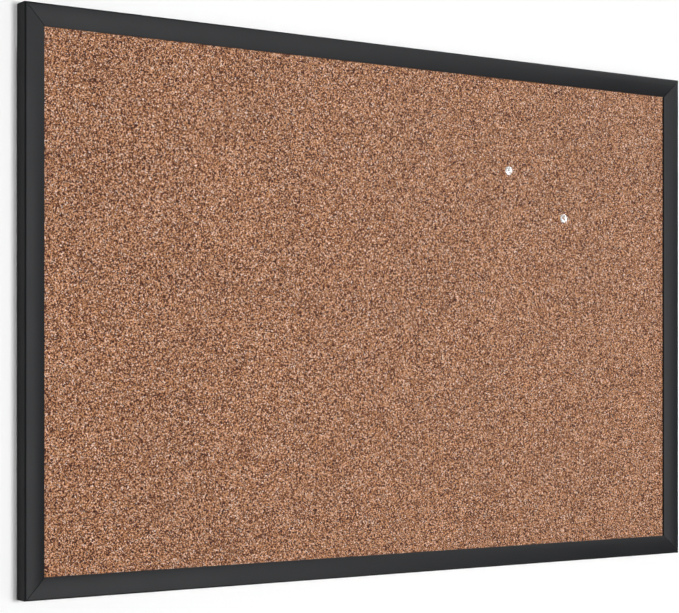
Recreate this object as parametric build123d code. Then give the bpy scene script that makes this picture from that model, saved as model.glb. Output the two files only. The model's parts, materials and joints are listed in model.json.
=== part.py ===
from build123d import *

import os

# Wall-hung cork bulletin board: mitred aluminium frame, cork panel, hidden hanging hardware, push pins.
#
# Units are millimetres. +X is right and +Z is up as seen by a reader in front of the board, and the
# wall is on the +Y side. The origin is midway between the two hanger keyholes, on the plane of the
# hanger plates' rear faces.

# Board
BOARD_W = 914.4  # 36 in
BOARD_H = 609.6  # 24 in

# Frame extrusion. Its section is drawn as (u, v): u runs inward from the rail's outer side, and v
# runs from the front plane towards the wall.
FRAME_DEPTH = 19.0
FACE_W = 23.0
SKIN = 1.4
EDGE_R = 1.8  # outer front edge
CROWN_END = 5.5  # where the nearly flat outer strip of the face meets its long soft round
CROWN_DROP = 0.05
LIP_DROP = 3.25  # the face's inner edge, behind the front plane
BOX_W = 9.6  # hollow box along the outer side
FLANGE_W = 4.8  # rear flange of the panel groove
FLANGE_T = 1.2

# Panel: cork glued to a fibre core, with a thin backing sheet
CORK_FRONT = 5.75  # cork surface, behind the front plane
CORK_T = 2.0
CORE_T = 6.5
BACKING_T = 0.5
PANEL_INSET = 10.0  # from the board's outline, so the panel has room in its groove

# Corner keys, inside the box of the rails
KEY_CLEARANCE = 0.1
KEY_LEG = 45.0
KEY_FRONT = 3.0  # behind the front plane

# Hanger plates at the top corners
PLATE_T = 1.2
PLATE_MARGIN = 1.0
PLATE_SIDE = 45.0
PLATE_CHAMFER = 14.0
PLATE_ROUND = 2.5
KEYHOLE_SPACING = 850.0
KEYHOLE_R = 4.5
SLOT_R = 2.2
SLOT_RISE = 9.0

# Screws through the rear wall of the rails into the keys
SCREW_R = 1.5
SCREW_ALONG = 30.0  # from the corner, along each rail
SCREW_U = 4.8
SCREW_TIP = 11.0  # behind the front plane
SCREW_FIT = 0.05
HEAD_R = 2.75
HEAD_T = 1.3
HEAD_ROUND = 0.6
RECESS_SPAN = 3.0
RECESS_W = 0.7
RECESS_DEPTH = 0.8

# Wall bumpers at the bottom corners
BUMPER_R = 4.2
BUMPER_T = 2.7
BUMPER_ALONG = 16.0
BUMPER_ROUND = 0.8

# Push pins: places from the board's centre, then the moulded head and the needle
PIN_PLACES = {"pushpin_1": (176.7, 171.2), "pushpin_2": (264.2, 117.6)}
PIN_HEAD_R = 5.6
PIN_HEAD_H = 4.0
PIN_RIM_BACK = 2.4
PIN_RIM_ROUND = 0.5
PIN_COLLAR_R = 2.6
PIN_COLLAR_H = 1.0
PIN_FLARE_R = 4.0
PIN_DISH_R = 4.2
PIN_DISH_DEPTH = 0.7
NEEDLE_R = 0.55
NEEDLE_IN_HEAD = 2.4
NEEDLE_REACH = 8.0  # from the cork surface
NEEDLE_POINT = 2.5
NEEDLE_FIT = 0.05

# Where the parts lie in the board's own frame
INSET = (BOARD_W - KEYHOLE_SPACING) / 2
CENTRE_Z = INSET - BOARD_H / 2
REAR_Y = -PLATE_T
FRONT_Y = REAR_Y - FRAME_DEPTH
CORK_Y = FRONT_Y + CORK_FRONT
CORE_Y = CORK_Y + CORK_T
BACKING_Y = CORE_Y + CORE_T
PANEL_BACK = CORK_FRONT + CORK_T + CORE_T + BACKING_T
BUTTED = (Align.MIN, Align.MIN)


def region(u0, v0, u1, v1):
    """A rectangle of the frame section."""
    return Pos(u0, v0) * Rectangle(u1 - u0, v1 - v0, align=BUTTED)


def frame_section():
    """The extrusion's section: a closed box along the outer side, a lip over the cork and a groove."""
    front_edge = TangentArc((0, EDGE_R), (EDGE_R, 0), tangent=(0, -1))
    crown = TangentArc((EDGE_R, 0), (CROWN_END, CROWN_DROP), tangent=(1, 0))
    inner_round = TangentArc(crown @ 1, (FACE_W, LIP_DROP), tangent=crown % 1)
    sides = Polyline((FACE_W, LIP_DROP), (FACE_W, FRAME_DEPTH), (0, FRAME_DEPTH), (0, EDGE_R))
    envelope = make_face([front_edge, crown, inner_round, sides])
    hollow = offset(envelope, -SKIN, kind=Kind.INTERSECTION)

    chamber = hollow & region(SKIN, 0, BOX_W - SKIN, FRAME_DEPTH)
    pocket = hollow & region(BOX_W, 0, FACE_W, CORK_FRONT)
    groove = region(BOX_W, CORK_FRONT, FACE_W + SKIN, PANEL_BACK)
    beside_flange = region(BOX_W + FLANGE_W, PANEL_BACK, FACE_W + SKIN, FRAME_DEPTH)
    behind_flange = region(BOX_W, PANEL_BACK + FLANGE_T, FACE_W + SKIN, FRAME_DEPTH)
    return envelope - chamber - pocket - groove - beside_flange - behind_flange


def rail(length, span):
    """One mitred rail, drawn as the bottom one of a board that is `span` from side to side."""
    outer = Vector(0, FRONT_Y, CENTRE_Z - span / 2)
    profile = Plane(origin=outer, x_dir=(0, 0, 1), z_dir=(-1, 0, 0)) * frame_section()
    bar = extrude(profile, amount=length / 2, both=True)

    half = length / 2
    front = Plane(origin=outer, x_dir=(1, 0, 0), z_dir=(0, -1, 0))
    corners = [(-half, 0), (half, 0), (half - FACE_W, FACE_W), (-half + FACE_W, FACE_W)]
    mitred = extrude(front * make_face(Polyline(*corners, close=True)), amount=-FRAME_DEPTH)
    bar = bar & mitred

    for side in (-1, 1):
        at = Vector(side * (half - SCREW_ALONG), REAR_Y, outer.Z + SCREW_U)
        bar -= rod(at, SCREW_R + SCREW_FIT, -2 * SKIN)
    return bar


def rod(at, radius, reach):
    """A cylinder along Y from a point, towards the wall where reach is positive."""
    across = Plane(origin=at, x_dir=(1, 0, 0), z_dir=(0, 1, 0))
    return extrude(across * Circle(radius), amount=reach)


def about_centre(shape, degrees):
    """The shape turned about the board's centre, in the board's plane."""
    centre = Pos(0, 0, CENTRE_Z)
    return centre * Rot(0, degrees, 0) * centre.inverse() * shape


def in_corner(shape, right, top):
    """A shape drawn for the bottom left corner, mirrored into the corner that is wanted."""
    if right:
        shape = mirror(shape, Plane.YZ)
    if top:
        shape = mirror(shape, Plane.XY.offset(CENTRE_Z))
    return shape


def corner_plane(depth):
    """The plane at a depth behind the front, from the bottom left corner, facing the wall."""
    corner = (-BOARD_W / 2, FRONT_Y + depth, CENTRE_Z - BOARD_H / 2)
    return Plane(origin=corner, x_dir=(0, 0, 1), z_dir=(0, 1, 0))


def screw_places(depth):
    """Where the two screws of the bottom left corner are, at a depth behind the front."""
    plane = corner_plane(depth)
    return [plane.from_local_coords((*uv, 0)) for uv in ((SCREW_U, SCREW_ALONG), (SCREW_ALONG, SCREW_U))]


def corner_key():
    """L-shaped key whose legs fill the boxes of the two rails that meet at the corner."""
    low = SKIN + KEY_CLEARANCE
    high = BOX_W - SKIN - KEY_CLEARANCE
    outline = Polyline(
        (low, low), (KEY_LEG, low), (KEY_LEG, high), (high, high), (high, KEY_LEG), (low, KEY_LEG), close=True
    )
    thickness = FRAME_DEPTH - SKIN - KEY_CLEARANCE - KEY_FRONT
    key = extrude(corner_plane(KEY_FRONT) * make_face(outline), amount=thickness)
    for at in screw_places(KEY_FRONT + thickness):
        key -= rod(at, SCREW_R + SCREW_FIT, SCREW_TIP - KEY_FRONT - thickness - SCREW_R)
    return key


def screw(seat):
    """A pan-head screw with a cross recess, whose head bears on the seat and faces the wall."""
    head = rod(seat, HEAD_R, HEAD_T)
    rim = head.edges().filter_by(GeomType.CIRCLE).sort_by(Axis.Y)[-1]
    head = fillet(rim, HEAD_ROUND)
    face = Plane(origin=seat + Vector(0, HEAD_T, 0), x_dir=(1, 0, 0), z_dir=(0, 1, 0))
    cross = Rectangle(RECESS_SPAN, RECESS_W) + Rectangle(RECESS_W, RECESS_SPAN)
    head -= extrude(face * cross, amount=-RECESS_DEPTH)
    return head + rod(seat, SCREW_R, FRONT_Y + SCREW_TIP - seat.Y)


def hanger_plate():
    """Steel corner plate with a keyhole whose slot runs towards the board's top edge."""
    far = PLATE_MARGIN + PLATE_SIDE
    cut = far - PLATE_CHAMFER
    near = PLATE_MARGIN
    outline = make_face(Polyline((near, near), (far, near), (far, cut), (cut, far), (near, far), close=True))
    outline = fillet(outline.vertices(), PLATE_ROUND)
    keyhole = Pos(INSET, INSET) * Circle(KEYHOLE_R)
    slot_end = Pos(INSET - SLOT_RISE, INSET) * Circle(SLOT_R)
    slot = Pos(INSET - SLOT_RISE / 2, INSET) * Rectangle(SLOT_RISE, 2 * SLOT_R)
    plate = extrude(corner_plane(FRAME_DEPTH) * (outline - keyhole - slot_end - slot), amount=PLATE_T)
    for at in screw_places(FRAME_DEPTH):
        plate -= rod(at, SCREW_R + SCREW_FIT, PLATE_T)
    return plate


def bumper():
    """A round self-adhesive rubber foot on the rear of the bottom rail."""
    at = corner_plane(FRAME_DEPTH).from_local_coords((SCREW_U, BUMPER_ALONG, 0))
    foot = rod(at, BUMPER_R, BUMPER_T)
    return fillet(foot.edges().filter_by(GeomType.CIRCLE).sort_by(Axis.Y)[-1], BUMPER_ROUND)


def pin_base(name):
    """Where a pin's axis meets the cork surface."""
    x, z = PIN_PLACES[name]
    return Vector(x, CORK_Y, CENTRE_Z + z)


def sheet(front_y, thickness):
    """One layer of the panel, with the holes that the needles have made in it."""
    middle = Plane(origin=(0, front_y, CENTRE_Z), x_dir=(1, 0, 0), z_dir=(0, 1, 0))
    layer = Rectangle(BOARD_W - 2 * PANEL_INSET, BOARD_H - 2 * PANEL_INSET)
    layer = extrude(middle * layer, amount=thickness)
    if front_y < CORK_Y + NEEDLE_REACH:
        for name in PIN_PLACES:
            layer -= rod(pin_base(name), NEEDLE_R + NEEDLE_FIT, NEEDLE_REACH + 4 * NEEDLE_FIT)
    return layer


def turned(base, outline):
    """A solid of revolution about a pin's axis, drawn as (radius, height out of the cork)."""
    section = Plane(origin=base, x_dir=(1, 0, 0), z_dir=(0, 0, 1)) * outline
    return revolve(section, Axis(base, (0, 1, 0)))


def pin_head(base):
    """Clear moulded disc with a rounded rim, a shallow dish in front and a short waisted collar."""
    front = -PIN_HEAD_H
    rim_back = -PIN_RIM_BACK
    flat_r = PIN_HEAD_R - PIN_RIM_ROUND
    collar = Polyline((0, front + PIN_DISH_DEPTH), (0, 0), (PIN_COLLAR_R, 0), (PIN_COLLAR_R, -PIN_COLLAR_H))
    flare = TangentArc(collar @ 1, (PIN_FLARE_R, rim_back), tangent=(0, -1))
    back = Line(flare @ 1, (flat_r, rim_back))
    back_edge = TangentArc(back @ 1, (PIN_HEAD_R, rim_back - PIN_RIM_ROUND), tangent=(1, 0))
    side = Line(back_edge @ 1, (PIN_HEAD_R, front + PIN_RIM_ROUND))
    front_edge = TangentArc(side @ 1, (flat_r, front), tangent=(0, -1))
    land = Line(front_edge @ 1, (PIN_DISH_R, front))
    dish = TangentArc(collar @ 0, land @ 1, tangent=(1, 0))
    head = turned(base, make_face([collar, flare, back, back_edge, side, front_edge, land, dish]))
    return head - rod(base, NEEDLE_R, -NEEDLE_IN_HEAD)


def pin_needle(base):
    """Steel needle with a conical point, from inside the head to its tip in the core board."""
    shoulder = NEEDLE_REACH - NEEDLE_POINT
    outline = Polyline(
        (0, -NEEDLE_IN_HEAD), (NEEDLE_R, -NEEDLE_IN_HEAD), (NEEDLE_R, shoulder), (0, NEEDLE_REACH), close=True
    )
    return turned(base, make_face(outline))


def frame_nodes():
    """The four rails, and what holds them together and on the wall, by node name."""
    long_rail = rail(BOARD_W, BOARD_H)
    short_rail = rail(BOARD_H, BOARD_W)
    nodes = {
        "rail_bottom": long_rail,
        "rail_left": about_centre(short_rail, 90),
        "rail_top": about_centre(long_rail, 180),
        "rail_right": about_centre(short_rail, 270),
    }
    key = corner_key()
    plate = hanger_plate()
    foot = bumper()
    plate_screws = Compound([screw(at) for at in screw_places(FRAME_DEPTH + PLATE_T)])
    rail_screws = Compound([screw(at) for at in screw_places(FRAME_DEPTH)])
    for side in ("left", "right"):
        right = side == "right"
        nodes["corner_key_top_" + side] = in_corner(key, right, True)
        nodes["corner_key_bottom_" + side] = in_corner(key, right, False)
        nodes["hanger_plate_" + side] = in_corner(plate, right, True)
        nodes["hanger_screws_" + side] = in_corner(plate_screws, right, True)
        nodes["corner_screws_bottom_" + side] = in_corner(rail_screws, right, False)
        nodes["bumper_" + side] = in_corner(foot, right, False)
    return nodes


def panel_nodes():
    """The three layers of the panel."""
    return {
        "cork_sheet": sheet(CORK_Y, CORK_T),
        "core_board": sheet(CORE_Y, CORE_T),
        "backing_sheet": sheet(BACKING_Y, BACKING_T),
    }


def pin_nodes():
    """Head and needle of each push pin."""
    nodes = {}
    for name in PIN_PLACES:
        base = pin_base(name)
        nodes[name + "_head"] = pin_head(base)
        nodes[name + "_needle"] = pin_needle(base)
    return nodes


os.makedirs("parts", exist_ok=True)
for node, shape in {**frame_nodes(), **panel_nodes(), **pin_nodes()}.items():
    export_step(shape, f"parts/{node}.step")
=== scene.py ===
"""The looks of the cork bulletin board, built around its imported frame. Units are metres."""

import json
import math

import bmesh
import bpy
import numpy as np
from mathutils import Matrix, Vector
from mathutils.geometry import tessellate_polygon


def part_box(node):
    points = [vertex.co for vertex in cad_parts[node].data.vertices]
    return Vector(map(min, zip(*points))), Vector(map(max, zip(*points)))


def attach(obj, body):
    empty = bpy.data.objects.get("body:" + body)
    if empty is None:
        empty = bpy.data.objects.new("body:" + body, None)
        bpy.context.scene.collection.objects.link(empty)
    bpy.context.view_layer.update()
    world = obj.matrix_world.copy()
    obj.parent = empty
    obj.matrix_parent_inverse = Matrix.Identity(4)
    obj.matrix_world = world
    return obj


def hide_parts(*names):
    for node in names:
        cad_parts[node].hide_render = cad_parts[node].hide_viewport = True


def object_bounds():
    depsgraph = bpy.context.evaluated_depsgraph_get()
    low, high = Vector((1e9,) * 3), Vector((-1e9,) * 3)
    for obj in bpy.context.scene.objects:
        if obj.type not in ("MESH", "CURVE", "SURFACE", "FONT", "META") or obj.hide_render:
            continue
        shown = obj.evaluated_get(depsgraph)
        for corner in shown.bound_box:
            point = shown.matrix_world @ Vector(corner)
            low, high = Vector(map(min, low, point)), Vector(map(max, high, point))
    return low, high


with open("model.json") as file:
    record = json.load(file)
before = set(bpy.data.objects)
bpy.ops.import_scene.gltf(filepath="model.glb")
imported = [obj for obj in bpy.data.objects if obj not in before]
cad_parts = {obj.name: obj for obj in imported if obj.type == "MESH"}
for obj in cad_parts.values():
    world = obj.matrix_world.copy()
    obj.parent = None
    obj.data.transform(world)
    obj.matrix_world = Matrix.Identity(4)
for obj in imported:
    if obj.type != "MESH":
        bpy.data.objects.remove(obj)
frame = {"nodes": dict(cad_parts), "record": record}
CAD_LOW, CAD_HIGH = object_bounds()

MM = 0.001

# Places that the frame gives
BOARD_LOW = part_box("rail_bottom")[0]
BOARD_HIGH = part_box("rail_top")[1]
CENTRE = (BOARD_LOW + BOARD_HIGH) / 2
BOARD_W = BOARD_HIGH.x - BOARD_LOW.x
BOARD_H = BOARD_HIGH.z - BOARD_LOW.z
FRONT_Y = BOARD_LOW.y
DEPTH = BOARD_HIGH.y - BOARD_LOW.y
FACE_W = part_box("rail_left")[1].x - BOARD_LOW.x
CORK_LOW, CORK_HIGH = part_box("cork_sheet")
CORK_FRONT = CORK_LOW.y - FRONT_Y
PANEL_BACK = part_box("backing_sheet")[1].y - FRONT_Y
WALL_Y = CAD_HIGH.y

# The extrusion's section, as in the CAD: u runs inward from the outer side, v from the front plane
SKIN = 1.4 * MM
EDGE_R = 1.8 * MM
CROWN_END = 5.5 * MM
CROWN_DROP = 0.05 * MM
LIP_DROP = 3.25 * MM
BOX_W = 9.6 * MM
FLANGE_W = 4.8 * MM
FLANGE_T = 1.2 * MM
MITRE_BEVEL = 0.35 * MM
MITRE_GAP = 0.05 * MM

# Cork relief: its grid, its height and its random seed, and the hole under each needle
CORK_STEP = 2.4 * MM
CORK_RELIEF = 0.07 * MM
CORK_SEED = 7
NEEDLE_HOLE_R = 0.6 * MM
NEEDLE_HOLE_STEPS = 24

# Hanger plates at the top corners, with their keyholes
HANG_HOLES = frame["record"]["mounts"][0]
PLATE_CHAMFER = 14.0 * MM
PLATE_ROUND = 2.5 * MM
PLATE_BEVEL = 0.12 * MM
KEYHOLE_R = 4.5 * MM
SLOT_R = 2.2 * MM
SLOT_RISE = 9.0 * MM

# Screws: two at each corner, one into each rail
SCREW_ALONG = 30.0 * MM
SCREW_U = 4.8 * MM
SCREW_HOLE_R = 1.55 * MM
SCREW_TIP = 11.0 * MM
THREAD_R = 1.5 * MM
THREAD_ROOT = 1.18 * MM
THREAD_PITCH = 0.8 * MM
RINGS_PER_TURN = 6
SCREW_STEPS = 24
HEAD_R = 2.75 * MM
HEAD_T = 1.3 * MM
HEAD_EDGE_R = 0.7 * MM
HEAD_SIDE = 0.55 * MM
RECESS_SPAN = 3.0 * MM
RECESS_W = 0.7 * MM
RECESS_DEPTH = 0.8 * MM

PINS = ("pushpin_1", "pushpin_2")

# Camera: place from the board's centre and its front plane, and its height above the bottom edge
CAMERA_X = -1.2495
CAMERA_FORWARD = 1.7334
CAMERA_HEIGHT = 0.232
CAMERA_YAW = 34.19
CAMERA_LENS = 98.3
CAMERA_SHIFT_Y = 0.0979

# Stage and lights
FLOOR_DROP = 1.75
STAGE_REACH = 30.0
WALL_TOP = 4.0
LIGHT_DISTANCE = 3.4
REFLECTOR_DISTANCE = 3.0


# ---------------------------------------------------------------- meshes


def tangent_arc(start, end, heading, steps):
    """Points of the arc that leaves start along heading and ends at end, and its last heading."""
    chord = Vector(end) - Vector(start)
    half_turn = math.atan2(chord.y, chord.x) - heading
    radius = chord.length / 2 / math.sin(half_turn)
    points = []
    for i in range(1, steps + 1):
        turn = half_turn * i / steps
        reach = 2 * radius * math.sin(turn)
        angle = heading + turn
        points.append((start[0] + reach * math.cos(angle), start[1] + reach * math.sin(angle)))
    return points, heading + 2 * half_turn


def loop_normals(points):
    """Normals of a closed outline, away from the material on its left."""
    normals = []
    for i, here in enumerate(points):
        before = Vector(here) - Vector(points[i - 1])
        after = Vector(points[(i + 1) % len(points)]) - Vector(here)
        a = Vector((before.y, -before.x)).normalized()
        b = Vector((after.y, -after.x)).normalized()
        mean = (a + b).normalized()
        normals.append(mean / max(mean.dot(a), 0.5))
    return normals


def face_curve():
    """The rail's front, from its outer side to the lip: edge round, nearly flat strip, long soft round."""
    points = [(0.0, EDGE_R)]
    heading = -math.pi / 2
    for end, steps in (((EDGE_R, 0.0), 8), ((CROWN_END, CROWN_DROP), 3), ((FACE_W, LIP_DROP), 16)):
        curve, heading = tangent_arc(points[-1], end, heading, steps)
        points += curve
    return points


def underside(curve, u_from, u_to):
    """The inner side of the front skin between two places across the rail."""
    moved = []
    for i, point in enumerate(curve):
        along = Vector(curve[min(i + 1, len(curve) - 1)]) - Vector(curve[max(i - 1, 0)])
        normal = Vector((-along.y, along.x)).normalized()
        moved.append((point[0] + normal.x * SKIN, point[1] + normal.y * SKIN))
    us = [p[0] for p in moved]
    vs = [p[1] for p in moved]
    inside = [p for p in moved if u_from < p[0] < u_to]
    ends = [(u, float(np.interp(u, us, vs))) for u in (u_from, u_to)]
    return [ends[0], *inside, ends[1]]


def rail_section():
    """Outer outline and chamber outline of the extrusion."""
    curve = face_curve()
    pocket = underside(curve, BOX_W, FACE_W - SKIN)
    outline = [
        (0.0, DEPTH),
        *curve,
        (FACE_W, CORK_FRONT),
        (FACE_W - SKIN, CORK_FRONT),
        *reversed(pocket),
        (BOX_W, PANEL_BACK),
        (BOX_W + FLANGE_W, PANEL_BACK),
        (BOX_W + FLANGE_W, PANEL_BACK + FLANGE_T),
        (BOX_W, PANEL_BACK + FLANGE_T),
        (BOX_W, DEPTH),
    ]
    ceiling = underside(curve, SKIN, BOX_W - SKIN)
    chamber = [(SKIN, DEPTH - SKIN), (BOX_W - SKIN, DEPTH - SKIN), *reversed(ceiling)]
    return outline, chamber


def finish_mesh(name, bm, sharp=35.0):
    """A smooth object from a bmesh, with outward faces, and edges over an angle in degrees kept sharp."""
    bmesh.ops.recalc_face_normals(bm, faces=bm.faces)
    mesh = bpy.data.meshes.new(name)
    bm.to_mesh(mesh)
    bm.free()
    mesh.polygons.foreach_set("use_smooth", [True] * len(mesh.polygons))
    mesh.set_sharp_from_angle(angle=math.radians(sharp))
    obj = bpy.data.objects.new(name, mesh)
    bpy.context.scene.collection.objects.link(obj)
    return obj


def bridge(bm, ring_a, ring_b):
    """Quads between two closed rings of as many vertices."""
    n = len(ring_a)
    for i in range(n):
        j = (i + 1) % n
        bm.faces.new((ring_a[i], ring_a[j], ring_b[j], ring_b[i]))


def cap(bm, rings):
    """A flat cap over the first ring, with the others as holes in it."""
    verts = [v for ring in rings for v in ring]
    for a, b, c in tessellate_polygon([[v.co for v in ring] for ring in rings]):
        bm.faces.new((verts[a], verts[b], verts[c]))


def extruded(bm, outlines, ends, place, bevel):
    """A closed bar with bevelled ends.

    outlines are loops of (u, v) with the material on their left, so a hole runs clockwise. ends says
    how far along a point is at each end, and place turns (along, u, v) into a place.
    """
    caps = {0: [], 1: []}
    for loop in outlines:
        normals = loop_normals(loop)
        inset = [(p[0] - n.x * bevel, p[1] - n.y * bevel) for p, n in zip(loop, normals)]
        rings = []
        for end in (0, 1):
            for outline, back in ((inset, 0.0), (loop, bevel)):
                rings.append([bm.verts.new(place(ends(u, end, back), u, v)) for u, v in outline])
            caps[end].append(rings[-2])
        bridge(bm, rings[0], rings[1])
        bridge(bm, rings[1], rings[3])
        bridge(bm, rings[3], rings[2])
    for end in (0, 1):
        cap(bm, caps[end])


def make_rail(side, section):
    """One mitred rail with a fine bevel at the mitres, in place of its CAD node."""
    upright = side in ("left", "right")
    half = (BOARD_H if upright else BOARD_W) / 2

    def ends(u, end, back):
        return (2 * end - 1) * (half - u - back - MITRE_GAP)

    def place(s, u, v):
        y = FRONT_Y + v
        return {
            "bottom": (CENTRE.x + s, y, BOARD_LOW.z + u),
            "top": (CENTRE.x + s, y, BOARD_HIGH.z - u),
            "left": (BOARD_LOW.x + u, y, CENTRE.z + s),
            "right": (BOARD_HIGH.x - u, y, CENTRE.z + s),
        }[side]

    bm = bmesh.new()
    extruded(bm, section, ends, place, MITRE_BEVEL)
    rail = finish_mesh(f"rail_{side}_formed", bm, sharp=24.0)
    return adopt(rail, "board", "frame_coating", f"rail_{side}")


def adopt(piece, body, slot, *nodes):
    """The piece rides on a body and stands for CAD nodes; its slot argument is not used."""
    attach(piece, body)
    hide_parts(*nodes)
    return piece


def pin_axis(name):
    """x and z of a push pin's axis."""
    low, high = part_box(name + "_needle")
    return (low.x + high.x) / 2, (low.z + high.z) / 2


def smooth_field(rng, rows, cols, passes):
    """A field of soft random heights, about -1 to 1."""
    field = rng.standard_normal((rows, cols))
    for _ in range(passes):
        padded = np.pad(field, 1, mode="edge")
        beside = padded[1:-1, :-2] + padded[1:-1, 2:]
        field = (beside + padded[:-2, 1:-1] + padded[2:, 1:-1] + 2 * field) / 6
    return field / np.abs(field).std() / 2


def make_cork():
    """The cork layer: a closed sheet with granular relief in front and a hole under each needle."""
    cols = round((CORK_HIGH.x - CORK_LOW.x) / CORK_STEP)
    rows = round((CORK_HIGH.z - CORK_LOW.z) / CORK_STEP)
    xs = np.linspace(CORK_LOW.x, CORK_HIGH.x, cols + 1)
    zs = np.linspace(CORK_LOW.z, CORK_HIGH.z, rows + 1)
    rng = np.random.default_rng(CORK_SEED)
    granules = smooth_field(rng, rows + 1, cols + 1, 1)
    waves = smooth_field(rng, rows + 1, cols + 1, 8)
    relief = np.clip(0.7 * granules + 0.5 * waves, -1.5, 1.0) * CORK_RELIEF
    relief[[0, -1], :] = 0
    relief[:, [0, -1]] = 0

    bm = bmesh.new()
    grid = [
        [bm.verts.new((xs[i], CORK_LOW.y - relief[j, i], zs[j])) for i in range(cols + 1)]
        for j in range(rows + 1)
    ]
    blocks = []
    for name in PINS:
        x, z = pin_axis(name)
        i = int(np.searchsorted(xs, x)) - 2
        j = int(np.searchsorted(zs, z)) - 2
        blocks.append((i, j, i + 3, j + 3, x, z))

    def in_block(i, j):
        return any(i0 <= i < i1 and j0 <= j < j1 for i0, j0, i1, j1, _, _ in blocks)

    for j in range(rows):
        for i in range(cols):
            if not in_block(i, j):
                bm.faces.new((grid[j][i], grid[j][i + 1], grid[j + 1][i + 1], grid[j + 1][i]))

    hole_backs = []
    for i0, j0, i1, j1, x, z in blocks:
        around = [grid[j0][i] for i in range(i0, i1)] + [grid[j][i1] for j in range(j0, j1)]
        around += [grid[j1][i] for i in range(i1, i0, -1)] + [grid[j][i0] for j in range(j1, j0, -1)]
        rims = [
            ring(bm, Vector((x, y, z)), NEEDLE_HOLE_R, 0.0, NEEDLE_HOLE_STEPS)
            for y in (CORK_LOW.y, CORK_HIGH.y)
        ]
        cap(bm, [around, rims[0]])
        bridge(bm, rims[0], rims[1])
        hole_backs.append(rims[1])
        for j in range(j0 + 1, j1):
            for i in range(i0 + 1, i1):
                bm.verts.remove(grid[j][i])

    edge = [grid[0][i] for i in range(cols)] + [grid[j][cols] for j in range(rows)]
    edge += [grid[rows][i] for i in range(cols, 0, -1)] + [grid[j][0] for j in range(rows, 0, -1)]
    back = [bm.verts.new((v.co.x, CORK_HIGH.y, v.co.z)) for v in edge]
    bridge(bm, edge, back)
    cap(bm, [back, *hole_backs])
    cork = finish_mesh("cork_surface", bm, sharp=50.0)
    return adopt(cork, "board", "cork", "cork_sheet")


def ring(bm, at, radius, out, steps):
    """A ring of vertices about an axis along Y, out in front of at, or one vertex on the axis."""
    if radius == 0.0:
        return [bm.verts.new((at.x, at.y - out, at.z))]
    verts = []
    for k in range(steps):
        turn = 2 * math.pi * k / steps
        place = (at.x + radius * math.cos(turn), at.y - out, at.z + radius * math.sin(turn))
        verts.append(bm.verts.new(place))
    return verts


def join_rings(bm, a, b):
    """Faces between two rings, either of which may be a single vertex."""
    if len(a) > 1 and len(b) > 1:
        bridge(bm, a, b)
        return
    tip, around = (a[0], b) if len(a) == 1 else (b[0], a)
    for k, vert in enumerate(around):
        bm.faces.new((tip, vert, around[(k + 1) % len(around)]))


def turned(bm, at, outline, steps=48):
    """A surface turned about an axis along Y, from points of (radius, distance in front of at)."""
    rings = [ring(bm, at, radius, out, steps) for radius, out in outline]
    for a, b in zip(rings, rings[1:]):
        join_rings(bm, a, b)


def arc(centre, radius, start, end, steps):
    """Points of an arc between two angles in degrees, ends included."""
    angles = np.radians(np.linspace(start, end, steps + 1))
    return [(centre[0] + radius * math.cos(t), centre[1] + radius * math.sin(t)) for t in angles]


def rounded(corners, radius, steps=6):
    """The outline of a polygon that runs anticlockwise, with each corner rounded."""
    points = []
    for i, corner in enumerate(corners):
        here = Vector(corner)
        before = (Vector(corners[i - 1]) - here).normalized()
        after = (Vector(corners[(i + 1) % len(corners)]) - here).normalized()
        half = before.angle(after) / 2
        centre = here + (before + after).normalized() * radius / math.sin(half)
        start = here + before * radius / math.tan(half) - centre
        first = math.degrees(math.atan2(start.y, start.x))
        points += arc(centre, radius, first, first + 180 - math.degrees(2 * half), steps)
    return points


def keyhole(u, v):
    """A round hole with a slot that runs from it towards smaller u."""
    mouth = math.degrees(math.asin(SLOT_R / KEYHOLE_R))
    hole = arc((u, v), KEYHOLE_R, mouth - 180, 180 - mouth, 32)
    return hole + arc((u - SLOT_RISE, v), SLOT_R, 90, 270, 16)


def make_hanger_plate(side):
    """Pressed steel plate with broken edges, a keyhole and two screw holes."""
    low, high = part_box(f"hanger_plate_{side}")
    right = side == "right"
    hang_z = HANG_HOLES["pos_m"][2]
    near = BOARD_HIGH.z - high.z
    far = BOARD_HIGH.z - low.z
    across = (BOARD_W - HANG_HOLES["dims"]["spacing_x_mm"] * MM) / 2
    cut = far - PLATE_CHAMFER
    outer = rounded([(near, near), (far, near), (far, cut), (cut, far), (near, far)], PLATE_ROUND)
    holes = [keyhole(BOARD_HIGH.z - hang_z, across)]
    holes += [arc(uv, SCREW_HOLE_R, 0, 345, 23) for uv in ((SCREW_U, SCREW_ALONG), (SCREW_ALONG, SCREW_U))]

    def ends(u, end, back):
        return high.y - back if end else low.y + back

    def place(s, u, v):
        return (BOARD_HIGH.x - v if right else BOARD_LOW.x + v, s, BOARD_HIGH.z - u)

    bm = bmesh.new()
    extruded(bm, [outer, *(hole[::-1] for hole in holes)], ends, place, PLATE_BEVEL)
    plate = finish_mesh(f"hanger_plate_{side}_pressed", bm)
    return adopt(plate, "board", "zinc_steel", f"hanger_plate_{side}")


def cross(span, width):
    """Outline of a cross recess."""
    a, b = span / 2, width / 2
    quarter = [(a, -b), (a, b), (b, b)]
    turns = ((1, 0), (0, 1), (-1, 0), (0, -1))
    return [(c * u - s * v, s * u + c * v) for c, s in turns for u, v in quarter]


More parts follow.
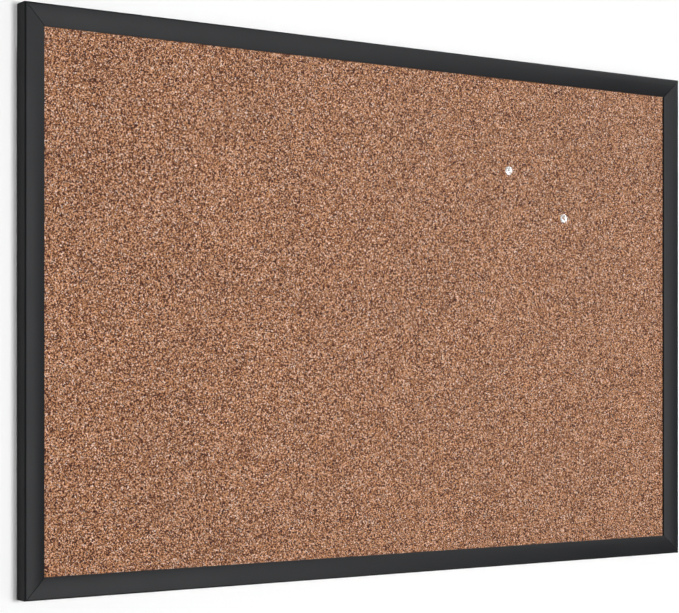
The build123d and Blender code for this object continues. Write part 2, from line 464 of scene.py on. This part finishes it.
def screw(bm, seat):
    """Pan-head screw with a cross recess and a cut thread, whose head faces the wall."""
    shank = seat.y - (FRONT_Y + SCREW_TIP)
    steps = SCREW_STEPS
    count = round(shank / THREAD_PITCH * RINGS_PER_TURN)
    last = None
    for k in range(count + 1):
        out = shank * k / count
        verts = ring(bm, seat, THREAD_ROOT, out, steps)
        fade = min(1.0, (shank - out) / (2 * THREAD_PITCH))
        for i, vert in enumerate(verts):
            phase = (out / THREAD_PITCH + i / steps) % 1.0
            crest = max(0.0, 1 - 3 * abs(phase - 0.5)) * fade
            scale = (THREAD_ROOT + (THREAD_R - THREAD_ROOT) * crest) / THREAD_ROOT
            vert.co.x = seat.x + (vert.co.x - seat.x) * scale
            vert.co.z = seat.z + (vert.co.z - seat.z) * scale
        if last:
            bridge(bm, last, verts)
        else:
            neck = verts
        last = verts
    join_rings(bm, last, ring(bm, seat, 0.0, shank, steps))

    rim = arc((HEAD_R - HEAD_EDGE_R, HEAD_SIDE), HEAD_EDGE_R, 0, 72, 6)
    head = [(HEAD_R, 0.0), *rim, (RECESS_SPAN / 2 + 0.2 * MM, HEAD_T)]
    under = ring(bm, seat, HEAD_R, 0.0, steps)
    bridge(bm, neck, under)
    rings = [under] + [ring(bm, seat, radius, -out, steps) for radius, out in head[1:]]
    for a, b in zip(rings, rings[1:]):
        bridge(bm, a, b)
    mouth, floor = (
        [bm.verts.new((seat.x + u, seat.y + out, seat.z + v)) for u, v in cross(span, width)]
        for span, width, out in (
            (RECESS_SPAN, RECESS_W, HEAD_T),
            (0.6 * RECESS_SPAN, 0.6 * RECESS_W, HEAD_T - RECESS_DEPTH),
        )
    )
    cap(bm, [rings[-1], mouth])
    bridge(bm, mouth, floor)
    cap(bm, [floor])


def make_screws(node, top):
    """The two screws of one corner."""
    low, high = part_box(node)
    right = low.x > CENTRE.x
    bm = bmesh.new()
    for u, v in ((SCREW_U, SCREW_ALONG), (SCREW_ALONG, SCREW_U)):
        x = BOARD_HIGH.x - v if right else BOARD_LOW.x + v
        z = BOARD_HIGH.z - u if top else BOARD_LOW.z + u
        screw(bm, Vector((x, high.y - HEAD_T, z)))
    screws = finish_mesh(f"{node}_cut", bm)
    return adopt(screws, "board", "screw_steel", node)


def make_bumper(side):
    """Rubber foot with a slight taper, a rounded rim and a shallow dimple."""
    node = f"bumper_{side}"
    low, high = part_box(node)
    radius = (high.x - low.x) / 2
    height = high.y - low.y
    edge = 0.8 * MM
    top_r = radius - 0.15 * MM
    outline = [(0.0, 0.0), (radius, 0.0), (radius, 0.25 * MM), (top_r, 0.45 * MM)]
    outline += arc((top_r - edge, height - edge), edge, 0, 90, 8)
    outline += [(1.5 * MM, height), (1.1 * MM, height - 0.12 * MM), (0.0, height - 0.25 * MM)]
    seat = Vector(((low.x + high.x) / 2, low.y, (low.z + high.z) / 2))
    bm = bmesh.new()
    turned(bm, seat, [(r, -out) for r, out in outline])
    foot = finish_mesh(f"{node}_moulded", bm)
    return adopt(foot, "board", "bumper_rubber", node)


def make_pin(name):
    """Clear moulded head with a beaded rim and a waisted collar, and its steel needle."""
    head_low, head_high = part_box(f"{name}_head")
    low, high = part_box(f"{name}_needle")
    x, z = pin_axis(name)
    base = Vector((x, head_high.y, z))
    radius = (head_high.x - head_low.x) / 2
    height = head_high.y - head_low.y
    needle_r = (high.x - low.x) / 2
    in_head = head_high.y - low.y

    bead = 0.8 * MM
    collar = 2.6 * MM
    outline = [(0.0, height - 0.7 * MM), (1.2 * MM, height - 0.68 * MM), (2.4 * MM, height - 0.55 * MM)]
    outline += [(3.3 * MM, height - 0.33 * MM), (3.85 * MM, height - 0.16 * MM)]
    outline += arc((radius - bead, height - bead), bead, 112, -90, 18)
    outline += [(4.15 * MM, height - 2 * bead), (3.75 * MM, 2.2 * MM), (3.2 * MM, 1.75 * MM)]
    outline += [(2.8 * MM, 1.3 * MM), (collar, 0.9 * MM), (collar, 0.22 * MM), (collar - 0.2 * MM, 0.0)]
    bore = needle_r + 0.02 * MM
    outline += [(bore, 0.0), (bore, in_head + 0.02 * MM), (0.0, in_head + 0.02 * MM)]
    bm = bmesh.new()
    turned(bm, base, outline, steps=64)
    head = adopt(finish_mesh(f"{name}_head_moulded", bm, 40.0), name, "clear_plastic", f"{name}_head")

    reach = high.y - head_high.y
    shoulder = reach - 2.5 * MM
    blunt = 0.05 * MM
    outline = [(0.0, in_head), (needle_r - 0.1 * MM, in_head), (needle_r, in_head - 0.1 * MM)]
    for t in np.linspace(0.0, 1.0, 9)[:-1]:
        outline.append((needle_r * (1 - t * t * t) + blunt * t, -shoulder - (reach - blunt - shoulder) * t))
    outline += [(blunt, blunt - reach), (0.0, -reach)]
    bm = bmesh.new()
    turned(bm, base, outline, steps=32)
    needle = adopt(finish_mesh(f"{name}_needle_ground", bm), name, "needle_steel", f"{name}_needle")
    return head, needle


# ---------------------------------------------------------------- materials


def new_material(name):
    """A material with one Principled shader, its tree and its shader."""
    mat = bpy.data.materials.new(name)
    mat.use_nodes = True
    tree = mat.node_tree
    return mat, tree, tree.nodes["Principled BSDF"]


def add(tree, kind, inputs=None, **settings):
    """A node with its settings, and inputs given as values or as the sockets that feed them."""
    made = tree.nodes.new(kind)
    for key, value in settings.items():
        setattr(made, key, value)
    for key, value in (inputs or {}).items():
        socket = made.inputs[key]
        if isinstance(value, bpy.types.NodeSocket):
            tree.links.new(value, socket)
        else:
            socket.default_value = value
    return made


def ramp(tree, value, stops):
    """A colour ramp from (position, colour) stops."""
    made = add(tree, "ShaderNodeValToRGB", {"Fac": value})
    points = made.color_ramp.elements
    while len(points) < len(stops):
        points.new(0.5)
    for point, (position, colour) in zip(points, stops):
        point.position = position
        point.color = (*colour, 1.0)
    return made.outputs["Color"]


def grey(value):
    return (value, value, value)


def mix(tree, a, b, factor, blend_type="MIX"):
    """Two colours mixed."""
    made = tree.nodes.new("ShaderNodeMix")
    made.data_type = "RGBA"
    made.blend_type = blend_type
    for socket, value in ((made.inputs[0], factor), (made.inputs[6], a), (made.inputs[7], b)):
        if isinstance(value, bpy.types.NodeSocket):
            tree.links.new(value, socket)
        elif isinstance(value, tuple):
            socket.default_value = (*value, 1.0)
        else:
            socket.default_value = value
    return made.outputs[2]


def noise(tree, coords, scale, detail=2.0, roughness=0.5):
    inputs = {"Vector": coords, "Scale": scale, "Detail": detail, "Roughness": roughness}
    return add(tree, "ShaderNodeTexNoise", inputs).outputs["Fac"]


def maths(tree, operation, a, b=0.0):
    return add(tree, "ShaderNodeMath", {0: a, 1: b}, operation=operation).outputs[0]


def in_range(tree, value, low, high, to_low, to_high):
    """A value taken from one range to another, and held at its ends."""
    inputs = {"Value": value, "From Min": low, "From Max": high, "To Min": to_low, "To Max": to_high}
    return add(tree, "ShaderNodeMapRange", inputs).outputs["Result"]


def bump(tree, height, distance, strength=1.0, normal=None):
    inputs = {"Height": height, "Distance": distance, "Strength": strength}
    if normal is not None:
        inputs["Normal"] = normal
    return add(tree, "ShaderNodeBump", inputs).outputs["Normal"]


def object_coords(tree):
    return add(tree, "ShaderNodeTexCoord").outputs["Object"]


def random_tone(tree, coords, scale, channel=0):
    """A random value for each cell of a Voronoi pattern, and the distance from the cell's middle."""
    cells = add(tree, "ShaderNodeTexVoronoi", {"Vector": coords, "Scale": scale})
    tone = add(tree, "ShaderNodeSeparateColor", {0: cells.outputs["Color"]}).outputs[channel]
    return tone, cells.outputs["Distance"]


def cork_material():
    """Fine agglomerated cork: pressed granules of mixed size and tone, dark flecks and pores."""
    mat, tree, shader = new_material("fine_grain_cork")
    coords = object_coords(tree)
    inputs = {"Vector": coords, "Scale": 900.0, "Detail": 1.0}
    warp = add(tree, "ShaderNodeTexNoise", inputs).outputs["Color"]
    nudge = add(tree, "ShaderNodeVectorMath", {0: warp, 1: grey(0.5)}, operation="SUBTRACT").outputs[0]
    nudge = add(tree, "ShaderNodeVectorMath", {0: nudge, "Scale": 0.8 * MM}, operation="SCALE").outputs[0]
    bent = add(tree, "ShaderNodeVectorMath", {0: coords, 1: nudge}, operation="ADD").outputs[0]

    fine_tone, _ = random_tone(tree, bent, 1250.0)
    coarse_tone, _ = random_tone(tree, bent, 680.0, 1)
    patches = noise(tree, coords, 200.0)
    share = in_range(tree, patches, 0.4, 0.6, 0.1, 0.5)
    tone = add(tree, "ShaderNodeMix", {"Factor": share, 2: fine_tone, 3: coarse_tone}).outputs[0]

    granules = ramp(
        tree,
        tone,
        [
            (0.0, (0.022, 0.002, 0.001)),
            (0.40, (0.048, 0.006, 0.001)),
            (0.49, (0.160, 0.042, 0.008)),
            (0.57, (0.440, 0.188, 0.060)),
            (0.80, (0.670, 0.338, 0.188)),
            (1.0, (0.930, 0.860, 0.800)),
        ],
    )
    pick, middle = random_tone(tree, bent, 260.0, 2)
    chosen = maths(tree, "GREATER_THAN", pick, 0.95)
    near = in_range(tree, middle, 0.15, 0.45, 1.0, 0.0)
    fleck = maths(tree, "MULTIPLY", chosen, near)
    colour = mix(tree, granules, (0.030, 0.010, 0.004), maths(tree, "MULTIPLY", fleck, 0.7))
    clouds = noise(tree, coords, 9.0, detail=3.0)
    colour = mix(tree, colour, ramp(tree, clouds, [(0.3, grey(0.90)), (0.7, grey(1.0))]), 1.0, "MULTIPLY")
    tree.links.new(colour, shader.inputs["Base Color"])

    grain = maths(tree, "ADD", maths(tree, "MULTIPLY", tone, 0.6), noise(tree, coords, 1800.0))
    tree.links.new(bump(tree, grain, 0.2 * MM, 0.8), shader.inputs["Normal"])
    tree.links.new(in_range(tree, tone, 0.0, 1.0, 0.92, 0.72), shader.inputs["Roughness"])
    shader.inputs["Specular IOR Level"].default_value = 0.25
    return mat


def coating_material():
    """Satin graphite powder coat: fine orange peel, faint tone changes, slightly worn gloss."""
    mat, tree, shader = new_material("graphite_powder_coat")
    coords = object_coords(tree)
    peel = noise(tree, coords, 700.0, detail=2.0)
    speckle = noise(tree, coords, 2600.0, detail=1.0)
    handling = noise(tree, coords, 14.0, detail=4.0)
    colour = ramp(tree, speckle, [(0.35, (0.0075, 0.0080, 0.0090)), (0.65, (0.0115, 0.0120, 0.0132))])
    tree.links.new(colour, shader.inputs["Base Color"])
    tree.links.new(in_range(tree, handling, 0.3, 0.7, 0.38, 0.45), shader.inputs["Roughness"])
    fine = bump(tree, speckle, 0.02 * MM, 0.4)
    tree.links.new(bump(tree, peel, 0.03 * MM, 0.4, fine), shader.inputs["Normal"])
    shader.inputs["Specular IOR Level"].default_value = 0.06
    return mat


def kraft_material(name, light, dark, grain=60.0):
    """Fibrous board: long mottled fibres and small flecks."""
    mat, tree, shader = new_material(name)
    coords = object_coords(tree)
    stretched = add(tree, "ShaderNodeMapping", {"Vector": coords, "Scale": (1.0, 1.0, 6.0)}).outputs[0]
    fibres = noise(tree, stretched, grain * 6, detail=5.0, roughness=0.65)
    clouds = noise(tree, coords, 7.0, detail=3.0)
    flecks = noise(tree, coords, 900.0, detail=1.0)
    colour = mix(tree, dark, light, in_range(tree, fibres, 0.35, 0.65, 0.0, 1.0))
    colour = mix(tree, colour, grey(0.8), in_range(tree, clouds, 0.35, 0.7, 0.0, 0.25), "MULTIPLY")
    colour = mix(tree, colour, dark, in_range(tree, flecks, 0.66, 0.72, 0.0, 0.6))
    tree.links.new(colour, shader.inputs["Base Color"])
    tree.links.new(bump(tree, fibres, 0.06 * MM, 0.6), shader.inputs["Normal"])
    tree.links.new(in_range(tree, fibres, 0.3, 0.7, 0.9, 0.75), shader.inputs["Roughness"])
    shader.inputs["Specular IOR Level"].default_value = 0.25
    return mat


def zinc_material(name, tint, spangle):
    """Zinc-plated steel: faint spangle, rolling marks and uneven dullness."""
    mat, tree, shader = new_material(name)
    coords = object_coords(tree)
    cells = add(tree, "ShaderNodeTexVoronoi", {"Vector": coords, "Scale": spangle})
    tone = add(tree, "ShaderNodeSeparateColor", {0: cells.outputs["Color"]}).outputs[0]
    marks = add(tree, "ShaderNodeMapping", {"Vector": coords, "Scale": (1.0, 1.0, 40.0)}).outputs[0]
    scratches = noise(tree, marks, 120.0, detail=4.0, roughness=0.7)
    low = tuple(0.82 * c for c in tint)
    tree.links.new(mix(tree, low, tint, tone), shader.inputs["Base Color"])
    dull = maths(tree, "ADD", maths(tree, "MULTIPLY", tone, 0.10), maths(tree, "MULTIPLY", scratches, 0.25))
    tree.links.new(maths(tree, "ADD", dull, 0.18), shader.inputs["Roughness"])
    tree.links.new(bump(tree, scratches, 0.01 * MM, 0.4), shader.inputs["Normal"])
    shader.inputs["Metallic"].default_value = 1.0
    return mat


def steel_material():
    """Polished needle steel with fine drawing lines along it."""
    mat, tree, shader = new_material("drawn_needle_steel")
    coords = object_coords(tree)
    along = add(tree, "ShaderNodeMapping", {"Vector": coords, "Scale": (8.0, 0.3, 8.0)}).outputs[0]
    lines = noise(tree, along, 900.0, detail=3.0)
    tree.links.new(mix(tree, grey(0.55), grey(0.72), lines), shader.inputs["Base Color"])
    tree.links.new(in_range(tree, lines, 0.3, 0.7, 0.14, 0.3), shader.inputs["Roughness"])
    shader.inputs["Metallic"].default_value = 1.0
    return mat


def moulded_material(name, tone, roughness, scale):
    """Moulded rubber or nylon with a fine texture."""
    mat, tree, shader = new_material(name)
    coords = object_coords(tree)
    texture = noise(tree, coords, scale, detail=3.0)
    dust = noise(tree, coords, 60.0, detail=4.0)
    tree.links.new(mix(tree, grey(tone), grey(tone * 1.7), dust), shader.inputs["Base Color"])
    tree.links.new(
        in_range(tree, texture, 0.3, 0.7, roughness - 0.08, roughness + 0.08), shader.inputs["Roughness"]
    )
    tree.links.new(bump(tree, texture, 0.05 * MM, 0.5), shader.inputs["Normal"])
    return mat


def clear_material():
    """Clear moulded polystyrene with faint flow marks."""
    mat, tree, shader = new_material("clear_polystyrene")
    coords = object_coords(tree)
    flow = noise(tree, coords, 420.0, detail=3.0)
    tree.links.new(mix(tree, (0.90, 0.94, 0.96), (0.97, 0.98, 0.99), flow), shader.inputs["Base Color"])
    tree.links.new(in_range(tree, flow, 0.3, 0.7, 0.08, 0.16), shader.inputs["Roughness"])
    tree.links.new(bump(tree, flow, 0.03 * MM, 0.5), shader.inputs["Normal"])
    shader.inputs["Transmission Weight"].default_value = 0.80
    shader.inputs["IOR"].default_value = 1.57
    return mat


def clothe(obj, mat):
    """The object shows one material."""
    obj.data.materials.clear()
    obj.data.materials.append(mat)


# ---------------------------------------------------------------- stage


def plate(name, corners, facing):
    """A flat stage sheet that shows only from the side it faces."""
    mesh = bpy.data.meshes.new(name)
    mesh.from_pydata(corners, [], [(0, 1, 2, 3)])
    obj = bpy.data.objects.new(name, mesh)
    bpy.context.scene.collection.objects.link(obj)
    if mesh.polygons[0].normal.dot(Vector(facing)) < 0:
        mesh.flip_normals()
    return obj


def stage_material(name, colour, shine=0.0):
    """Matte paint that is clear from behind, with a faint roller texture, and with a light of its own."""
    mat, tree, shader = new_material(name)
    coords = object_coords(tree)
    texture = noise(tree, coords, 90.0, detail=3.0)
    tree.links.new(mix(tree, tuple(0.985 * c for c in colour), colour, texture), shader.inputs["Base Color"])
    shader.inputs["Roughness"].default_value = 0.9
    shader.inputs["Specular IOR Level"].default_value = 0.1
    shader.inputs["Emission Color"].default_value = (1.0, 1.0, 0.98, 1.0)
    shader.inputs["Emission Strength"].default_value = shine
    back = add(tree, "ShaderNodeNewGeometry").outputs["Backfacing"]
    clear = add(tree, "ShaderNodeBsdfTransparent").outputs[0]
    sides = add(tree, "ShaderNodeMixShader", {0: back, 1: shader.outputs[0], 2: clear})
    tree.links.new(sides.outputs[0], tree.nodes["Material Output"].inputs["Surface"])
    return mat


def make_stage():
    """A white wall that the board hangs on, and a pale floor that throws no light on it."""
    reach = STAGE_REACH
    floor_z = -FLOOR_DROP
    sides = ((-reach, floor_z), (reach, floor_z), (reach, WALL_TOP), (-reach, WALL_TOP))
    wall = plate("stage_wall", [(x, WALL_Y, z) for x, z in sides], (0, -1, 0))
    wall.visible_shadow = False
    clothe(wall, stage_material("stage_white_wall", (0.91, 0.91, 0.91)))
    sides = ((-reach, -reach), (reach, -reach), (reach, reach), (-reach, reach))
    floor = plate("stage_floor", [(x, y, floor_z) for x, y in sides], (0, 0, 1))
    floor.visible_diffuse = False
    floor.visible_glossy = False
    clothe(floor, stage_material("stage_pale_floor", (0.30, 0.30, 0.29), 0.55))


def aim(right, up):
    """The direction towards the room, some degrees to the right and up, as seen from the board."""
    a, b = math.radians(right), math.radians(up)
    return Vector((math.sin(a) * math.cos(b), -math.cos(a) * math.cos(b), math.sin(b)))


def area_light(name, direction, distance, size, power, glossy=True, diffuse=True):
    """A softbox that faces the board's centre, with its size in metres and its power in watts."""
    lamp = bpy.data.lights.new(name, "AREA")
    lamp.shape = "RECTANGLE"
    lamp.size, lamp.size_y = size
    lamp.energy = power
    obj = bpy.data.objects.new(name, lamp)
    obj.location = CENTRE + direction * distance
    obj.rotation_euler = (-direction).to_track_quat("-Z", "Y").to_euler()
    obj.visible_glossy = glossy
    obj.visible_diffuse = diffuse
    bpy.context.scene.collection.objects.link(obj)
    return obj


def make_world():
    """A dim even studio, with a plain pale backdrop in view."""
    world = bpy.data.worlds.new("studio")
    world.use_nodes = True
    bpy.context.scene.world = world
    tree = world.node_tree
    around = tree.nodes["Background"]
    around.inputs["Color"].default_value = (1.0, 1.0, 1.0, 1.0)
    around.inputs["Strength"].default_value = 0.12
    seen = add(tree, "ShaderNodeBackground", {"Color": (0.93, 0.93, 0.93, 1.0), "Strength": 1.0})
    camera_ray = add(tree, "ShaderNodeLightPath").outputs["Is Camera Ray"]
    shown = add(tree, "ShaderNodeMixShader", {0: camera_ray, 1: around.outputs[0], 2: seen.outputs[0]})
    tree.links.new(shown.outputs[0], tree.nodes["World Output"].inputs["Surface"])


def make_lights():
    """Soft key and fill in front, reflectors that only the satin coating shows, and a softbox behind."""
    area_light("key", aim(5.5, 0.5), LIGHT_DISTANCE, (0.95, 0.6), 77.0, glossy=False)
    area_light("fill", aim(-14, 0), LIGHT_DISTANCE, (1.5, 0.6), 37.0, glossy=False)
    area_light("side", aim(42, -10), LIGHT_DISTANCE, (1.2, 1.2), 11.0, glossy=False)
    area_light("front_reflector", aim(14, -6), REFLECTOR_DISTANCE, (2.1, 3.0), 228.0, diffuse=False)
    area_light("upper_reflector", aim(56, 27), REFLECTOR_DISTANCE, (1.6, 1.2), 72.0, diffuse=False)
    area_light("low_reflector", aim(-42, -30), REFLECTOR_DISTANCE, (2.4, 1.2), 40.0, diffuse=False)
    area_light("rear", aim(180, 40), REFLECTOR_DISTANCE, (0.9, 1.6), 60.0)
    make_world()


def make_camera():
    """Level camera to the left of the board, with a little shift up for the framing."""
    data = bpy.data.cameras.new("camera")
    data.lens = CAMERA_LENS
    data.sensor_width = 36.0
    data.shift_y = CAMERA_SHIFT_Y
    camera = bpy.data.objects.new("camera", data)
    camera.location = (CENTRE.x + CAMERA_X, FRONT_Y - CAMERA_FORWARD, BOARD_LOW.z + CAMERA_HEIGHT)
    camera.rotation_euler = (math.pi / 2, 0.0, -math.radians(CAMERA_YAW))
    bpy.context.scene.collection.objects.link(camera)
    bpy.context.scene.camera = camera


# ---------------------------------------------------------------- the board

make_camera()
make_stage()
make_lights()
bpy.context.scene.view_settings.view_transform = "Standard"

coating = coating_material()
section = rail_section()
for side in ("top", "bottom", "left", "right"):
    clothe(make_rail(side, section), coating)
clothe(make_cork(), cork_material())

zinc = zinc_material("zinc_plate", (0.62, 0.63, 0.64), 220.0)
screw_zinc = zinc_material("zinc_screws", (0.58, 0.58, 0.59), 900.0)
rubber = moulded_material("bumper_rubber", 0.02, 0.75, 900.0)
clear = clear_material()
needle_steel = steel_material()
for side in ("left", "right"):
    clothe(make_hanger_plate(side), zinc)
    clothe(make_screws(f"hanger_screws_{side}", top=True), screw_zinc)
    clothe(make_screws(f"corner_screws_bottom_{side}", top=False), screw_zinc)
    clothe(make_bumper(side), rubber)
for name in PINS:
    head, needle = make_pin(name)
    clothe(head, clear)
    clothe(needle, needle_steel)

NODE_LOOKS = {
    "corner_key": moulded_material("key_nylon", 0.03, 0.55, 700.0),
    "core_board": kraft_material("softboard_core", (0.42, 0.33, 0.22), (0.28, 0.20, 0.12), grain=40.0),
    "backing_sheet": kraft_material("kraft_backing", (0.44, 0.30, 0.18), (0.30, 0.19, 0.11)),
}
for name, node in frame["nodes"].items():
    for start, look in NODE_LOOKS.items():
        if name.startswith(start):
            clothe(node, look)
